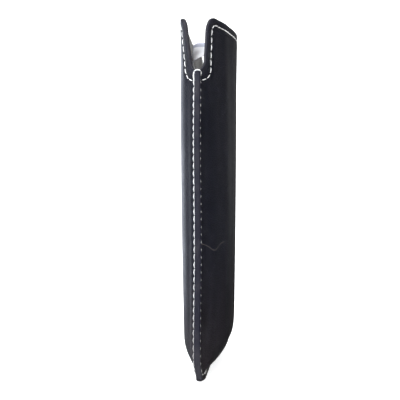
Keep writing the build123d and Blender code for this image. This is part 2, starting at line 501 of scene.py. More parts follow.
@dataclass
class Outline:
    """The flat outline of a panel, the same on both sides."""

    height: float = 140.0 * MM
    half_width: float = 39.0 * MM
    notch_depth: float = 22.5 * MM
    notch_width: float = 5.6 * MM
    notch_radius: float = 5.0 * MM
    mouth_radius: float = 6.5 * MM
    foot_radius: float = 5.0 * MM
    step: float = 0.62 * MM

    @property
    def notch_floor(self) -> float:
        """Height of the seam's top end."""
        return self.height - self.notch_depth

    def mouth_line(self, inset: float) -> np.ndarray:
        """The mouth's edge from the -X seam end to the +X seam end, moved in by inset."""
        outer = self.half_width - inset
        wall = self.half_width - self.notch_width - inset
        floor = self.notch_floor - inset
        top = self.height - inset
        corners = [(-outer, floor), (-wall, floor), (-wall, top), (wall, top), (wall, floor), (outer, floor)]
        hollow = self.notch_radius + inset
        crest = self.mouth_radius - inset
        reach = outer - wall - 1e-5
        return rounded_path(corners, [min(hollow, reach), crest, crest, min(hollow, reach)], self.step)

    def seam_line(self, inset: float, top: float) -> np.ndarray:
        """The side and bottom edges from the -X seam end round to the +X one, moved in by inset."""
        outer = self.half_width - inset
        corners = [(-outer, top), (-outer, inset), (outer, inset), (outer, top)]
        return rounded_path(corners, [self.foot_radius - inset] * 2, self.step)

    def grid(self, inset: float, columns: int, rows: int) -> tuple:
        """A grid of places that fills the outline.

        Args:
            inset: distance that the edge is moved in by.
            columns: cells across.
            rows: cells up.

        Returns:
            Arrays x and z of shape (rows + 1, columns + 1).
        """
        outer = self.half_width - inset
        wall = self.half_width - self.notch_width - inset
        floor, top = self.notch_floor - inset, self.height - inset
        foot, crest = self.foot_radius - inset, self.mouth_radius - inset
        hollow = min(self.notch_radius + inset, outer - wall - 1e-5)
        corners = [(outer, inset), (outer, floor), (wall, floor), (wall, top)]
        side = rounded_path(corners, [0.0001, hollow], 0.0001)
        side = side[(side[:, 1] > inset + foot) & (side[:, 1] < top - crest)]
        lower = self._arc((outer - foot, inset + foot), foot, -45, 0)
        upper = self._arc((wall - crest, top - crest), crest, 0, 45)
        edge = np.concatenate([lower, side, upper])
        lengths = np.concatenate([[0.0], np.cumsum(np.linalg.norm(np.diff(edge, axis=0), axis=1))])
        up = np.linspace(0, 1, rows + 1)
        edge_x = np.interp(up * lengths[-1], lengths, edge[:, 0])
        edge_z = np.interp(up * lengths[-1], lengths, edge[:, 1])
        over = np.linspace(0, 1, columns + 1)
        bottom_x, bottom_z = self._cap(over, foot, outer, inset, -1)
        top_x, top_z = self._cap(over, crest, wall, top, 1)
        inner = smooth(np.minimum(over, 1 - over) / 0.3)
        middle = inset + up * (top - inset)
        x = edge_x[:, None] * (2 * over[None, :] - 1)
        z = edge_z[:, None] * (1 - inner[None, :]) + middle[:, None] * inner[None, :]
        fall, rise = (1 - up)[:, None] ** 3, up[:, None] ** 3
        base_x, base_z, head_x, head_z = x[0].copy(), z[0].copy(), x[-1].copy(), z[-1].copy()
        x = x + fall * (bottom_x - base_x)[None, :] + rise * (top_x - head_x)[None, :]
        z = z + fall * (bottom_z - base_z)[None, :] + rise * (top_z - head_z)[None, :]
        return x, z

    @staticmethod
    def _arc(centre: tuple, radius: float, start: float, end: float) -> np.ndarray:
        """Points of an arc between two angles in degrees."""
        angles = np.radians(np.linspace(start, end, 12))
        return np.stack([centre[0] + radius * np.cos(angles), centre[1] + radius * np.sin(angles)], axis=1)

    def _cap(self, over: np.ndarray, radius: float, reach: float, level: float, up: int) -> tuple:
        """The bottom or top edge from corner to corner, at places over from 0 to 1."""
        centre = (reach - radius, level - up * radius)
        right = self._arc(centre, radius, 90 * up, 45 * up)
        left = right[::-1] * np.array([-1, 1])
        line = np.concatenate([left, right])
        lengths = np.concatenate([[0.0], np.cumsum(np.linalg.norm(np.diff(line, axis=0), axis=1))])
        return (np.interp(over * lengths[-1], lengths, line[:, 0]),
                np.interp(over * lengths[-1], lengths, line[:, 1]))


def seam_drift(x: np.ndarray, z: np.ndarray) -> np.ndarray:
    """How far the sewn edge has warped out of its plane with use, along Y.

    The side seams lean back and their outer edges curl forwards; the bottom seam curls forwards.
    """
    out = np.abs(x)
    lean = 0.95 * MM * smooth((out - 31.5 * MM) / (4.5 * MM))
    curl = 0.16 * np.maximum(out - 34.0 * MM, 0)
    low = 0.95 * MM * smooth(1 - z / (9 * MM))
    wander = 0.16 * MM * smooth((out - 30 * MM) / (6 * MM)) * np.sin(z / (13 * MM) + 0.7)
    return lean - curl - low + wander


@dataclass
class PanelForm:
    """How one panel bows out of the seam, and where its plies lie."""

    side: Side
    outline: Outline
    bow: float
    foot_fullness: float
    mouth_fullness: float
    foot_run: float
    foot_roundness: float
    taper: float
    splay: float
    board: float
    taper_curve: float = 2.4
    splay_start: float = 118.0 * MM
    seam_half: float = SEAM_HALF
    seam_width: float = 3.5 * MM
    leather: float = 0.8 * MM
    creases: tuple = ()

    def profile(self, z: np.ndarray) -> np.ndarray:
        """Share of the full bow at a height."""
        rise = np.clip((z - self.seam_width) / self.foot_run, 0, 1)
        lean = 1 - self.taper * np.maximum(1 - z / self.outline.height, 0) ** self.taper_curve
        return (1 - (1 - rise) ** 2) ** self.foot_roundness * lean

    def swell(self, x: np.ndarray, z: np.ndarray) -> np.ndarray:
        """Share of the full bow at a place, eased into the seam."""
        up = np.clip(z / self.outline.height, 0, 1)
        fullness = self.foot_fullness + (self.mouth_fullness - self.foot_fullness) * up
        above = (z - self.splay_start) / (self.outline.height - self.splay_start)
        reach = self.outline.half_width - self.seam_width + self.splay * smooth(above)
        across = 1 - np.abs(x / reach) ** fullness
        return np.maximum(across, 0.0) * self.profile(z)

    def stand(self, x: np.ndarray, z: np.ndarray) -> np.ndarray:
        """Distance of the leather's face from the seam's middle plane."""
        share = self.swell(x, z)
        soft = np.clip(share / 0.5, 0, 1)
        ripple = np.zeros_like(share)
        for size, wave, lean, start in self.creases:
            ripple += size * np.sin(wave * x + lean * z + start)
        foot = 0.35 * MM * np.exp(-((z - 11 * MM) / (6 * MM)) ** 2) * np.sin(x / (3.1 * MM) + 40 * z)
        lip = 0.5 * MM * smooth((z - 112 * MM) / (26 * MM)) * np.sin(x / (17 * MM) + 0.6)
        return self.seam_half + self.bow * share + soft * (ripple + foot * 0.6 + lip)

    def face(self, x: np.ndarray, z: np.ndarray, sink: np.ndarray | float = 0.0) -> tuple:
        """Points of the leather's face, and its outward normals.

        Args:
            x: places across.
            z: heights.
            sink: distance that the points are pressed in by.

        Returns:
            Arrays of points and of normals, with a last axis of 3.
        """
        sign = self.side.value
        step = 0.15 * MM
        y = self._place(x, z)
        slope_x = (self._place(x + step, z) - self._place(x - step, z)) / (2 * step)
        slope_z = (self._place(x, z + step) - self._place(x, z - step)) / (2 * step)
        normal = np.stack([-slope_x, np.ones_like(y), -slope_z], axis=-1) * sign
        normal /= np.linalg.norm(normal, axis=-1, keepdims=True)
        points = np.stack([x, y, z], axis=-1)
        return points - normal * np.asarray(sink)[..., None], normal

    def _place(self, x: np.ndarray, z: np.ndarray) -> np.ndarray:
        """Y of the leather's face."""
        return self.side.value * self.stand(x, z) + seam_drift(x, z)

    def depth(self, x: np.ndarray, z: np.ndarray) -> np.ndarray:
        """Thickness of the whole panel, from the leather's face to the lining's."""
        return self.seam_half + self.board * np.clip(self.swell(x, z) * 1.4, 0, 1)


def distance_to_line(x: np.ndarray, z: np.ndarray, line: np.ndarray) -> np.ndarray:
    """Distance of each place from the nearest point of a line."""
    places = np.stack([x.ravel(), z.ravel()], axis=1)
    nearest = np.full(len(places), 1.0)
    for start in range(0, len(line), 64):
        part = line[start:start + 64]
        gaps = np.linalg.norm(places[:, None, :] - part[None, :, :], axis=2).min(axis=1)
        nearest = np.minimum(nearest, gaps)
    return nearest.reshape(x.shape)


# ---------------------------------------------------------------- mesh helpers


def mesh_object(name: str, points: np.ndarray, faces: list, material: bpy.types.Material) -> bpy.types.Object:
    """A smooth-shaded mesh object at the origin.

    Args:
        name: the piece's name.
        points: an array of points.
        faces: lists of point numbers, turning outwards.
        material: its finish.

    Returns:
        The new object, linked to the scene.
    """
    mesh = bpy.data.meshes.new(name)
    mesh.from_pydata([tuple(p) for p in points.tolist()], [], faces)
    mesh.validate()
    mesh.materials.append(material)
    mesh.shade_smooth()
    made = bpy.data.objects.new(name, mesh)
    bpy.context.scene.collection.objects.link(made)
    return made


def store(made: bpy.types.Object, name: str, values: np.ndarray) -> None:
    """Gives a mesh a number at each of its points."""
    layer = made.data.attributes.new(name, "FLOAT", "POINT")
    layer.data.foreach_set("value", np.asarray(values, np.float32).ravel())


def closed_sheet(name: str, outer: np.ndarray, inner: np.ndarray, finish: bpy.types.Material,
                 flip: bool) -> bpy.types.Object:
    """A sheet between two grids of points, closed all round its rim.

    Args:
        name: the piece's name.
        outer: an array of shape (rows, columns, 3).
        inner: the other face, of the same shape.
        finish: its material.
        flip: True where the outer face looks towards +Y.

    Returns:
        The new object.
    """
    rows, columns = outer.shape[0] - 1, outer.shape[1] - 1
    wide = columns + 1
    total = outer.shape[0] * wide
    faces = []
    for i in range(rows):
        for j in range(columns):
            a = i * wide + j
            quad = [a, a + 1, a + 1 + wide, a + wide]
            faces.append(quad)
            faces.append([total + p for p in quad[::-1]])
    rim = list(range(columns))
    rim += [i * wide + columns for i in range(rows)]
    rim += [rows * wide + j for j in range(columns, 0, -1)]
    rim += [i * wide for i in range(rows, 0, -1)]
    for a, b in zip(rim, rim[1:] + rim[:1]):
        faces.append([a, total + a, total + b, b])
    if flip:
        faces = [face[::-1] for face in faces]
    points = np.concatenate([outer.reshape(-1, 3), inner.reshape(-1, 3)])
    return mesh_object(name, points, faces, finish)


def sweep(name: str, rings: np.ndarray, material: bpy.types.Material, flip: bool = False) -> bpy.types.Object:
    """A closed tube through rings of points, with flat ends.

    Args:
        name: the piece's name.
        rings: an array of shape (rings, points, 3).
        material: its finish.
        flip: True where the rings turn the other way.

    Returns:
        The new object.
    """
    count, around = rings.shape[:2]
    faces = []
    for i in range(count - 1):
        for j in range(around):
            k = (j + 1) % around
            quad = [i * around + j, i * around + k, (i + 1) * around + k, (i + 1) * around + j]
            faces.append(quad[::-1] if flip else quad)
    first, last = list(range(around)), [(count - 1) * around + j for j in range(around)]
    faces.append(first if flip else first[::-1])
    faces.append(last[::-1] if flip else last)
    return mesh_object(name, rings.reshape(-1, 3), faces, material)


def plain_mesh(carrier: bpy.types.Object, name: str) -> bpy.types.Object:
    """The evaluated result of an object as a plain mesh object; the carrier is removed."""
    evaluated = carrier.evaluated_get(bpy.context.evaluated_depsgraph_get())
    mesh = bpy.data.meshes.new_from_object(evaluated)
    made = bpy.data.objects.new(name, mesh)
    mesh.name = name
    bpy.context.scene.collection.objects.link(made)
    bpy.data.objects.remove(carrier)
    return made


# ---------------------------------------------------------------- sub-assemblies


@dataclass
class Panel:
    """One panel: leather, board, lining and the coated edge of its mouth."""

    form: PanelForm
    leather_finish: bpy.types.Material
    lining_finish: bpy.types.Material
    board_finish: bpy.types.Material
    edge_finish: bpy.types.Material
    columns: int = 124
    rows: int = 224
    board_half_width: float = 27.0 * MM
    board_foot: float = 15.0 * MM
    lining: float = 0.36 * MM
    glue: float = 0.03 * MM

    def build(self) -> list:
        """Returns:
            The new objects.
        """
        word = self.form.side.word
        leather = self._ply("leather", 0.0, self._leather_depth, self.leather_finish, True)
        lining = self._ply("lining", self._board_back, self.form.depth, self.lining_finish, False)
        board = self._ply("board", self._board_front, self._board_back, self.board_finish, False)
        edge = self._mouth_edge()
        for piece, node, slot in (
            (leather, "shell", "leather"),
            (lining, "lining", "lining"),
            (board, "stiffener", "board"),
            (edge, "mouth_edge", "edge"),
        ):
            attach(piece, CASE)
            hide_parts(f"{word}_{node}")
            log.info("%s: %d points", piece.name, len(piece.data.vertices))
        return [leather, lining, board, edge]

    def _leather_depth(self, x: np.ndarray, z: np.ndarray) -> np.ndarray:
        """Depth of the leather's back face."""
        return np.full_like(x, self.form.leather)

    def _board_front(self, x: np.ndarray, z: np.ndarray) -> np.ndarray:
        """Depth of the board's outer face."""
        return np.full_like(x, self.form.leather + self.glue)

    def _board_back(self, x: np.ndarray, z: np.ndarray) -> np.ndarray:
        """Depth of the lining's glued face, which is also the board's inner face."""
        return self.form.depth(x, z) - self.lining

    def _ply(self, layer: str, near: Callable | float, far: Callable, finish: bpy.types.Material,
             detailed: bool) -> bpy.types.Object:
        """One ply as a closed sheet.

        Args:
            layer: the ply's name.
            near: depth of its outer face, a number or a function of place.
            far: depth of its inner face, a function of place.
            finish: its material.
            detailed: True for the leather, which the stitches press into.

        Returns:
            The ply's object.
        """
        outline = self.form.outline
        columns, rows = (self.columns, self.rows) if detailed else (self.columns // 2, self.rows // 2)
        if layer == "board":
            x, z = self._board_grid(columns, rows)
        else:
            x, z = outline.grid(EDGE_COAT * 0.8, columns, rows)
        front_depth = near(x, z) if callable(near) else np.full_like(x, near)
        wear_and_highlight = np.zeros_like(x)
        press = np.zeros_like(x)
        if detailed:
            front_depth, wear_and_highlight, press = self._pressed(x, z, front_depth)
        outer, _ = self.form.face(x, z, front_depth)
        inner, _ = self.form.face(x, z, far(x, z))
        faces_back = self.form.side is Side.BACK
        made = closed_sheet(f"{self.form.side.word}_{layer}", outer, inner, finish, faces_back)
        if detailed:
            # Edge wear with a painted highlight along the rim, for the leather's colour.
            store(made, "edge_wear_and_highlight", np.concatenate([wear_and_highlight.ravel(), wear_and_highlight.ravel() * 0]))
            # Painted shade in the thread's groove, for the leather's colour.
            store(made, "thread_groove_shade", np.concatenate([press.ravel(), press.ravel() * 0]))
        return made

    def _board_grid(self, columns: int, rows: int) -> tuple:
        """Places that fill the board's plain rectangle."""
        across = np.linspace(-self.board_half_width, self.board_half_width, columns + 1)
        up = np.linspace(self.board_foot, self.form.outline.height - EDGE_COAT, rows + 1)
        return np.meshgrid(across, up)

    def _pressed(self, x: np.ndarray, z: np.ndarray, depth: np.ndarray) -> tuple:
        """The leather's face pressed in by the thread and rounded off at its edges.

        Args:
            x: places across.
            z: heights.
            depth: depth of the face before.

        Returns:
            The new depth, the edge wear with its painted highlight along the edges, and the painted shade
            beside the thread.
        """
        outline = self.form.outline
        seam = outline.seam_line(SEAM_STITCH_INSET, outline.notch_floor - MOUTH_STITCH_INSET)
        mouth = outline.mouth_line(MOUTH_STITCH_INSET)
        rim = np.concatenate([outline.mouth_line(0.0), outline.seam_line(0.0, outline.notch_floor)])
        thread_gap = distance_to_line(x, z, np.concatenate([seam, mouth]))
        rim_gap = distance_to_line(x, z, rim)
        pucker = 0.75 + 0.25 * np.cos(2 * math.pi * z / STITCH_PITCH)
        groove = np.exp(-(thread_gap / (0.75 * MM)) ** 2) * pucker
        pillow = np.exp(-((thread_gap - 1.9 * MM) / (1.1 * MM)) ** 2)
        rounding = np.exp(-rim_gap / (0.55 * MM))
        depth = depth + 0.17 * MM * groove - 0.07 * MM * pillow + 0.22 * MM * rounding
        return depth, np.exp(-rim_gap / (0.9 * MM)), np.exp(-(thread_gap / (0.5 * MM)) ** 2)

    def _mouth_edge(self) -> bpy.types.Object:
        """The coated edge that wraps the plies along the notches and the mouth."""
        outline = self.form.outline
        line = outline.mouth_line(EDGE_COAT)
        x, z = line[:, 0], line[:, 1]
        run = np.gradient(line, axis=0)
        run /= np.linalg.norm(run, axis=1, keepdims=True)
        out = np.stack([-run[:, 1], run[:, 0]], axis=1)
        face, normal = self.form.face(x, z, 0.0)
        reach = 0.2 * MM
        ahead, _ = self.form.face(x + out[:, 0] * reach, z + out[:, 1] * reach, 0.0)
        outward = ahead - face
        outward /= np.linalg.norm(outward, axis=1, keepdims=True)
        depth = self.form.depth(x, z)
        length = np.arange(len(x)) * outline.step
        swell = 1 + 0.05 * np.sin(length / (4.3 * MM)) + 0.03 * np.sin(length / (1.7 * MM) + 1)
        around = 20
        rings = np.zeros((len(x), around, 3))
        worn_and_lit = np.zeros((len(x), around))
        centre = face - normal * (depth / 2)[:, None]
        for j in range(around):
            angle = 2 * math.pi * j / around
            thick = math.copysign(abs(math.cos(angle)) ** 0.62, math.cos(angle))
            reach_out = math.sin(angle)
            push = EDGE_COAT * reach_out * (swell if reach_out > 0 else 1.5 * np.ones_like(depth))
            proud = depth / 2 + 0.02 * MM if reach_out > -0.2 else depth / 2 - 0.12 * MM
            rings[:, j] = centre + normal * (proud * thick)[:, None] + outward * push[:, None]
            # Paler on the edge's outward face: rubbed wear and a painted highlight along the rim.
            worn_and_lit[:, j] = max(reach_out, 0.0) ** 2 * 1.3
        name = f"{self.form.side.word}_mouth_edge_coat"
        made = sweep(name, rings, self.edge_finish, self.form.side is Side.FRONT)
        store(made, "edge_wear_and_highlight", worn_and_lit)
        return made


@dataclass
class SeamEdge:
    """The coated edge of the seam, round both sides and the bottom."""

    outline: Outline
    finish: bpy.types.Material

    def build(self) -> bpy.types.Object:
        """Returns:
            The new object.
        """
        line = self.outline.seam_line(EDGE_COAT, self.outline.notch_floor - 0.15 * MM)
        run = np.gradient(line, axis=0)
        run /= np.linalg.norm(run, axis=1, keepdims=True)
        out = np.stack([run[:, 1], -run[:, 0]], axis=1)
        length = np.arange(len(line)) * self.outline.step
        swell = 1 + 0.05 * np.sin(length / (6.1 * MM)) + 0.03 * np.sin(length / (2.3 * MM) + 2)
        around = 24
        rings = np.zeros((len(line), around, 3))
        worn_and_lit = np.zeros((len(line), around))
        for j in range(around):
            angle = 2 * math.pi * j / around
            thick = math.copysign(abs(math.cos(angle)) ** 0.7, math.cos(angle))
            push = math.sin(angle)
            groove = 0.07 * MM * math.exp(-(math.cos(angle) / 0.13) ** 2) if push > 0 else 0.0
            reach = EDGE_COAT * swell * push - groove if push > 0 else np.full(len(line), push * 0.9 * MM)
            thickness = SEAM_HALF + 0.02 * MM if push > -0.2 else SEAM_HALF - 0.25 * MM
            rings[:, j, 0] = line[:, 0] + out[:, 0] * reach
            rings[:, j, 2] = line[:, 1] + out[:, 1] * reach
            rings[:, j, 1] = thickness * thick + seam_drift(rings[:, j, 0], rings[:, j, 2])
            # Paler on the seam edge's outer face: rubbed wear and a painted highlight.
            worn_and_lit[:, j] = max(push, 0.0) ** 2 * 0.35
        made = sweep("seam_edge_coat", rings, self.finish, True)
        store(made, "edge_wear_and_highlight", worn_and_lit)
        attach(made, CASE)
        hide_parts("seam_edge")
        log.info("seam edge: %d points", len(made.data.vertices))
        return made


class StitchTree:
    """The node tree that sews a row of stitches along a line."""

    def __init__(self) -> None:
        """Builds the tree once; every row uses it with its own sizes."""
        self.tree = bpy.data.node_groups.new("sewn_row", "GeometryNodeTree")
        self.identifiers = {}
        self._socket("Geometry", "NodeSocketGeometry")
        for name in ("Pitch", "Length", "Radius", "Rise", "Dip"):
            self._socket(name, "NodeSocketFloat")
        self._socket("Thread", "NodeSocketMaterial")
        self.tree.interface.new_socket("Geometry", in_out="OUTPUT", socket_type="NodeSocketGeometry")
        self._fill()

    def _socket(self, name: str, kind: str) -> None:
        """Adds a named input and keeps its identifier."""
        made = self.tree.interface.new_socket(name, in_out="INPUT", socket_type=kind)
        self.identifiers[name] = made.identifier

    def _add(self, kind: str, settings: dict, inputs: dict) -> bpy.types.Node:
        """Adds a node.

        Args:
            kind: the node's type.
            settings: values set on the node.
            inputs: socket name or number to a value or an output socket.

        Returns:
            The node.
        """
        made = self.tree.nodes.new(kind)
        for key, value in settings.items():
            setattr(made, key, value)
        for key, value in inputs.items():
            if isinstance(value, bpy.types.NodeSocket):
                self.tree.links.new(value, made.inputs[key])
            else:
                made.inputs[key].default_value = value
        return made

    def _times(self, first: bpy.types.NodeSocket, second: float) -> bpy.types.NodeSocket:
        """A value multiplied by a number."""
        return self._add("ShaderNodeMath", {"operation": "MULTIPLY"}, {0: first, 1: second}).outputs[0]

    def _point(self, x: bpy.types.NodeSocket, z: bpy.types.NodeSocket) -> bpy.types.NodeSocket:
        """A point in the upright plane of a stitch."""
        return self._add("ShaderNodeCombineXYZ", {}, {"X": x, "Z": z}).outputs[0]

    def _fill(self) -> None:
        """Lays out the nodes: one twisted stitch, repeated along the line."""
        given = self._add("NodeGroupInput", {}, {}).outputs
        half = self._times(given["Length"], 0.5)
        down = self._times(given["Dip"], -1.0)
        start, end = self._point(self._times(half, -1.0), down), self._point(half, down)
        first = self._point(self._times(half, -0.72), given["Rise"])
        second = self._point(self._times(half, 0.72), given["Rise"])
        strand = self._add("GeometryNodeCurvePrimitiveBezierSegment", {"mode": "POSITION"},
                           {"Resolution": 9, "Start": start, "Start Handle": first,
                            "End Handle": second, "End": end}).outputs[0]
        along = self._add("GeometryNodeSplineParameter", {}, {}).outputs["Factor"]
        twist = self._times(along, 5.2)
        tilted = self._add("GeometryNodeSetCurveTilt", {}, {"Curve": strand, "Tilt": twist}).outputs[0]
        inner = self._times(given["Radius"], 0.80)
        lobes = self._add("GeometryNodeCurveStar", {},
                          {"Points": 3, "Inner Radius": inner, "Outer Radius": given["Radius"]}).outputs[0]
        stitch = self._add("GeometryNodeCurveToMesh", {},
                           {"Curve": tilted, "Profile Curve": lobes, "Fill Caps": True}).outputs[0]
        smooth_stitch = self._add("GeometryNodeSetShadeSmooth", {}, {"Geometry": stitch}).outputs[0]
        normal = self._add("GeometryNodeInputNamedAttribute", {"data_type": "FLOAT_VECTOR"},
                           {"Name": "face_normal"}).outputs["Attribute"]
        tangent = self._add("GeometryNodeInputTangent", {}, {}).outputs[0]
        line = self._add("GeometryNodeMeshToCurve", {}, {"Mesh": given["Geometry"]}).outputs[0]
        holes = self._add("GeometryNodeResampleCurve", {"mode": "LENGTH"},
                          {"Curve": line, "Length": given["Pitch"]}).outputs[0]
        turn = self._add("FunctionNodeAxesToRotation", {"primary_axis": "Z", "secondary_axis": "X"},
                         {"Primary Axis": normal, "Secondary Axis": tangent}).outputs[0]
        sway = {"Min": (-0.05, -0.05, -0.09), "Max": (0.05, 0.05, 0.09), "Seed": 7}
        wander = self._add("FunctionNodeRandomValue", {"data_type": "FLOAT_VECTOR"}, sway).outputs["Value"]
        nudge = self._add("FunctionNodeEulerToRotation", {}, {"Euler": wander}).outputs[0]
        turned = self._add("FunctionNodeRotateRotation", {"rotation_space": "LOCAL"},
                           {"Rotation": turn, "Rotate By": nudge}).outputs[0]
        scale = self._add("FunctionNodeRandomValue", {"data_type": "FLOAT"},
                          {2: 0.94, 3: 1.04, "Seed": 11}).outputs[1]
        placed = {"Points": holes, "Instance": smooth_stitch, "Rotation": turned, "Scale": scale}
        row = self._add("GeometryNodeInstanceOnPoints", {}, placed).outputs[0]
        real = self._add("GeometryNodeRealizeInstances", {}, {"Geometry": row}).outputs[0]
        clothed = {"Geometry": real, "Material": given["Thread"]}
        dressed = self._add("GeometryNodeSetMaterial", {}, clothed).outputs[0]
        self._add("NodeGroupOutput", {}, {0: dressed})

    def sew(self, name: str, lines: list, sizes: dict, thread: bpy.types.Material) -> bpy.types.Object:
        """Sews stitches along lines.

        Args:
            name: the piece's name.
            lines: (points, normals) pairs.
            sizes: the tree's inputs, by name.
            thread: the material.

        Returns:
            The stitches as one plain mesh object.
        """
        points = np.concatenate([p for p, _ in lines])
        normals = np.concatenate([n for _, n in lines])
        edges, start = [], 0
        for p, _ in lines:
            edges += [(start + i, start + i + 1) for i in range(len(p) - 1)]
            start += len(p)
        mesh = bpy.data.meshes.new(name + "_line")
        mesh.from_pydata([tuple(p) for p in points.tolist()], edges, [])
        layer = mesh.attributes.new("face_normal", "FLOAT_VECTOR", "POINT")
        layer.data.foreach_set("vector", np.asarray(normals, np.float32).ravel())
        carrier = bpy.data.objects.new(name + "_line", mesh)
        bpy.context.scene.collection.objects.link(carrier)
        modifier = carrier.modifiers.new("sewing", "NODES")
        modifier.node_group = self.tree
        for key, value in sizes.items():
            modifier[self.identifiers[key]] = value
        modifier[self.identifiers["Thread"]] = thread
        made = plain_mesh(carrier, name)
        log.info("%s: %d points", name, len(made.data.vertices))
        return made


@dataclass(frozen=True)
class Stitch:
    """The drawn size of one kind of stitch."""

    rise: float
    length: float
    thickness: float


@dataclass
class Sewing:
    """All the thread that shows: the seam, the two topstitches and the seam's end tacks."""

    forms: dict
    outline: Outline
    thread: bpy.types.Material
    tree: StitchTree = field(default_factory=StitchTree)
    radius: float = 0.31 * MM
    dip: float = 0.25 * MM
    seam_press: float = 0.06 * MM
    mouth_press: float = 0.05 * MM
    front_seam: Stitch = Stitch(0.14 * MM, 0.78, 0.9)
    back_seam: Stitch = Stitch(0.36 * MM, 0.88, 0.72)
    mouth: Stitch = Stitch(0.20 * MM, 0.80, 0.62)

    def _sewn(self, form: PanelForm, row: str, line: np.ndarray, press: float,
              stitch: Stitch) -> bpy.types.Object:
        """Args:
            form: the panel's form.
            row: "seam" or "mouth".
            line: the row's (x, z) points.
            press: how far the thread is pressed in.
            stitch: the stitch's drawn size.

        Returns:
            The new object.
        """
        sizes = {
            "Pitch": STITCH_PITCH,
            "Length": STITCH_PITCH * stitch.length,
            "Radius": self.radius * stitch.thickness,
            "Rise": stitch.rise,
            "Dip": self.dip,
        }
        laid = form.face(line[:, 0], line[:, 1], np.full(len(line), press))
        word = form.side.word
        piece = self.tree.sew(f"{word}_{row}_thread", [laid], sizes, self.thread)
        return self._declare(piece, f"{word}_{row}_stitches")

    def build(self) -> list:
        """Returns:
            The new objects.
        """
        seam_top = self.outline.notch_floor - 1.2 * MM
        seam = self.outline.seam_line(SEAM_STITCH_INSET, seam_top)
        mouth = self.outline.mouth_line(MOUTH_STITCH_INSET)
        mouth = mouth[np.abs(mouth[:, 0]) < self.outline.half_width - SEAM_STITCH_INSET - 0.4 * MM]
        made = []
        for side, form in self.forms.items():
            along_seam = self.front_seam if side is Side.FRONT else self.back_seam
            made.append(self._sewn(form, "seam", seam, self.seam_press, along_seam))
            made.append(self._sewn(form, "mouth", mouth, self.mouth_press, self.mouth))
        for sign, node in ((-1, "near_seam_tack"), (1, "far_seam_tack")):
            made.append(self._declare(self._tack(sign, node), node))
        return made

    def _declare(self, piece: bpy.types.Object, node: str) -> bpy.types.Object:
        """Rides a thread piece on the case in place of its CAD node."""
        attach(piece, CASE)
        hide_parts(node)
        return piece

    def _tack(self, sign: int, node: str) -> bpy.types.Object:
        """The doubled thread that passes over a seam's top end."""
        curve = bpy.data.curves.new(node, "CURVE")
        curve.dimensions = "3D"
        curve.bevel_depth = self.radius * 0.75
        curve.bevel_resolution = 3
        curve.resolution_u = 8
        half = SEAM_HALF
        top = self.outline.notch_floor + 0.42 * MM
        for shift in (-0.24 * MM, 0.24 * MM):
            x = sign * (self.outline.half_width - SEAM_STITCH_INSET) + shift
            lean = shift * 0.8
            over = [
                (x - lean, -half + 0.5 * MM, top - 1.9 * MM),
                (x - lean, -half - 0.05 * MM, top - 1.6 * MM),
                (x, -half - 0.16 * MM, top - 0.8 * MM),
                (x, -half * 0.72, top + 0.12 * MM),
                (x, 0.0, top + 0.30 * MM),
                (x, half * 0.72, top + 0.12 * MM),
                (x, half + 0.24 * MM, top - 1.0 * MM),
                (x + lean, half + 0.22 * MM, top - 2.9 * MM),
                (x + lean, half - 0.1 * MM, top - 3.4 * MM),
            ]
            spline = curve.splines.new("NURBS")
            spline.points.add(len(over) - 1)
            for point, (px, py, pz) in zip(spline.points, over):
                point.co = (px, py + float(seam_drift(np.array(px), np.array(pz))), pz, 1.0)
            spline.order_u = 3
            spline.use_endpoint_u = True
        curve.use_fill_caps = True
        carrier = bpy.data.objects.new(node + "_curve", curve)
        bpy.context.scene.collection.objects.link(carrier)
        carrier.data.materials.append(self.thread)
        made = plain_mesh(carrier, node.replace("tack", "end_thread"))
        made.data.shade_smooth()
        return made


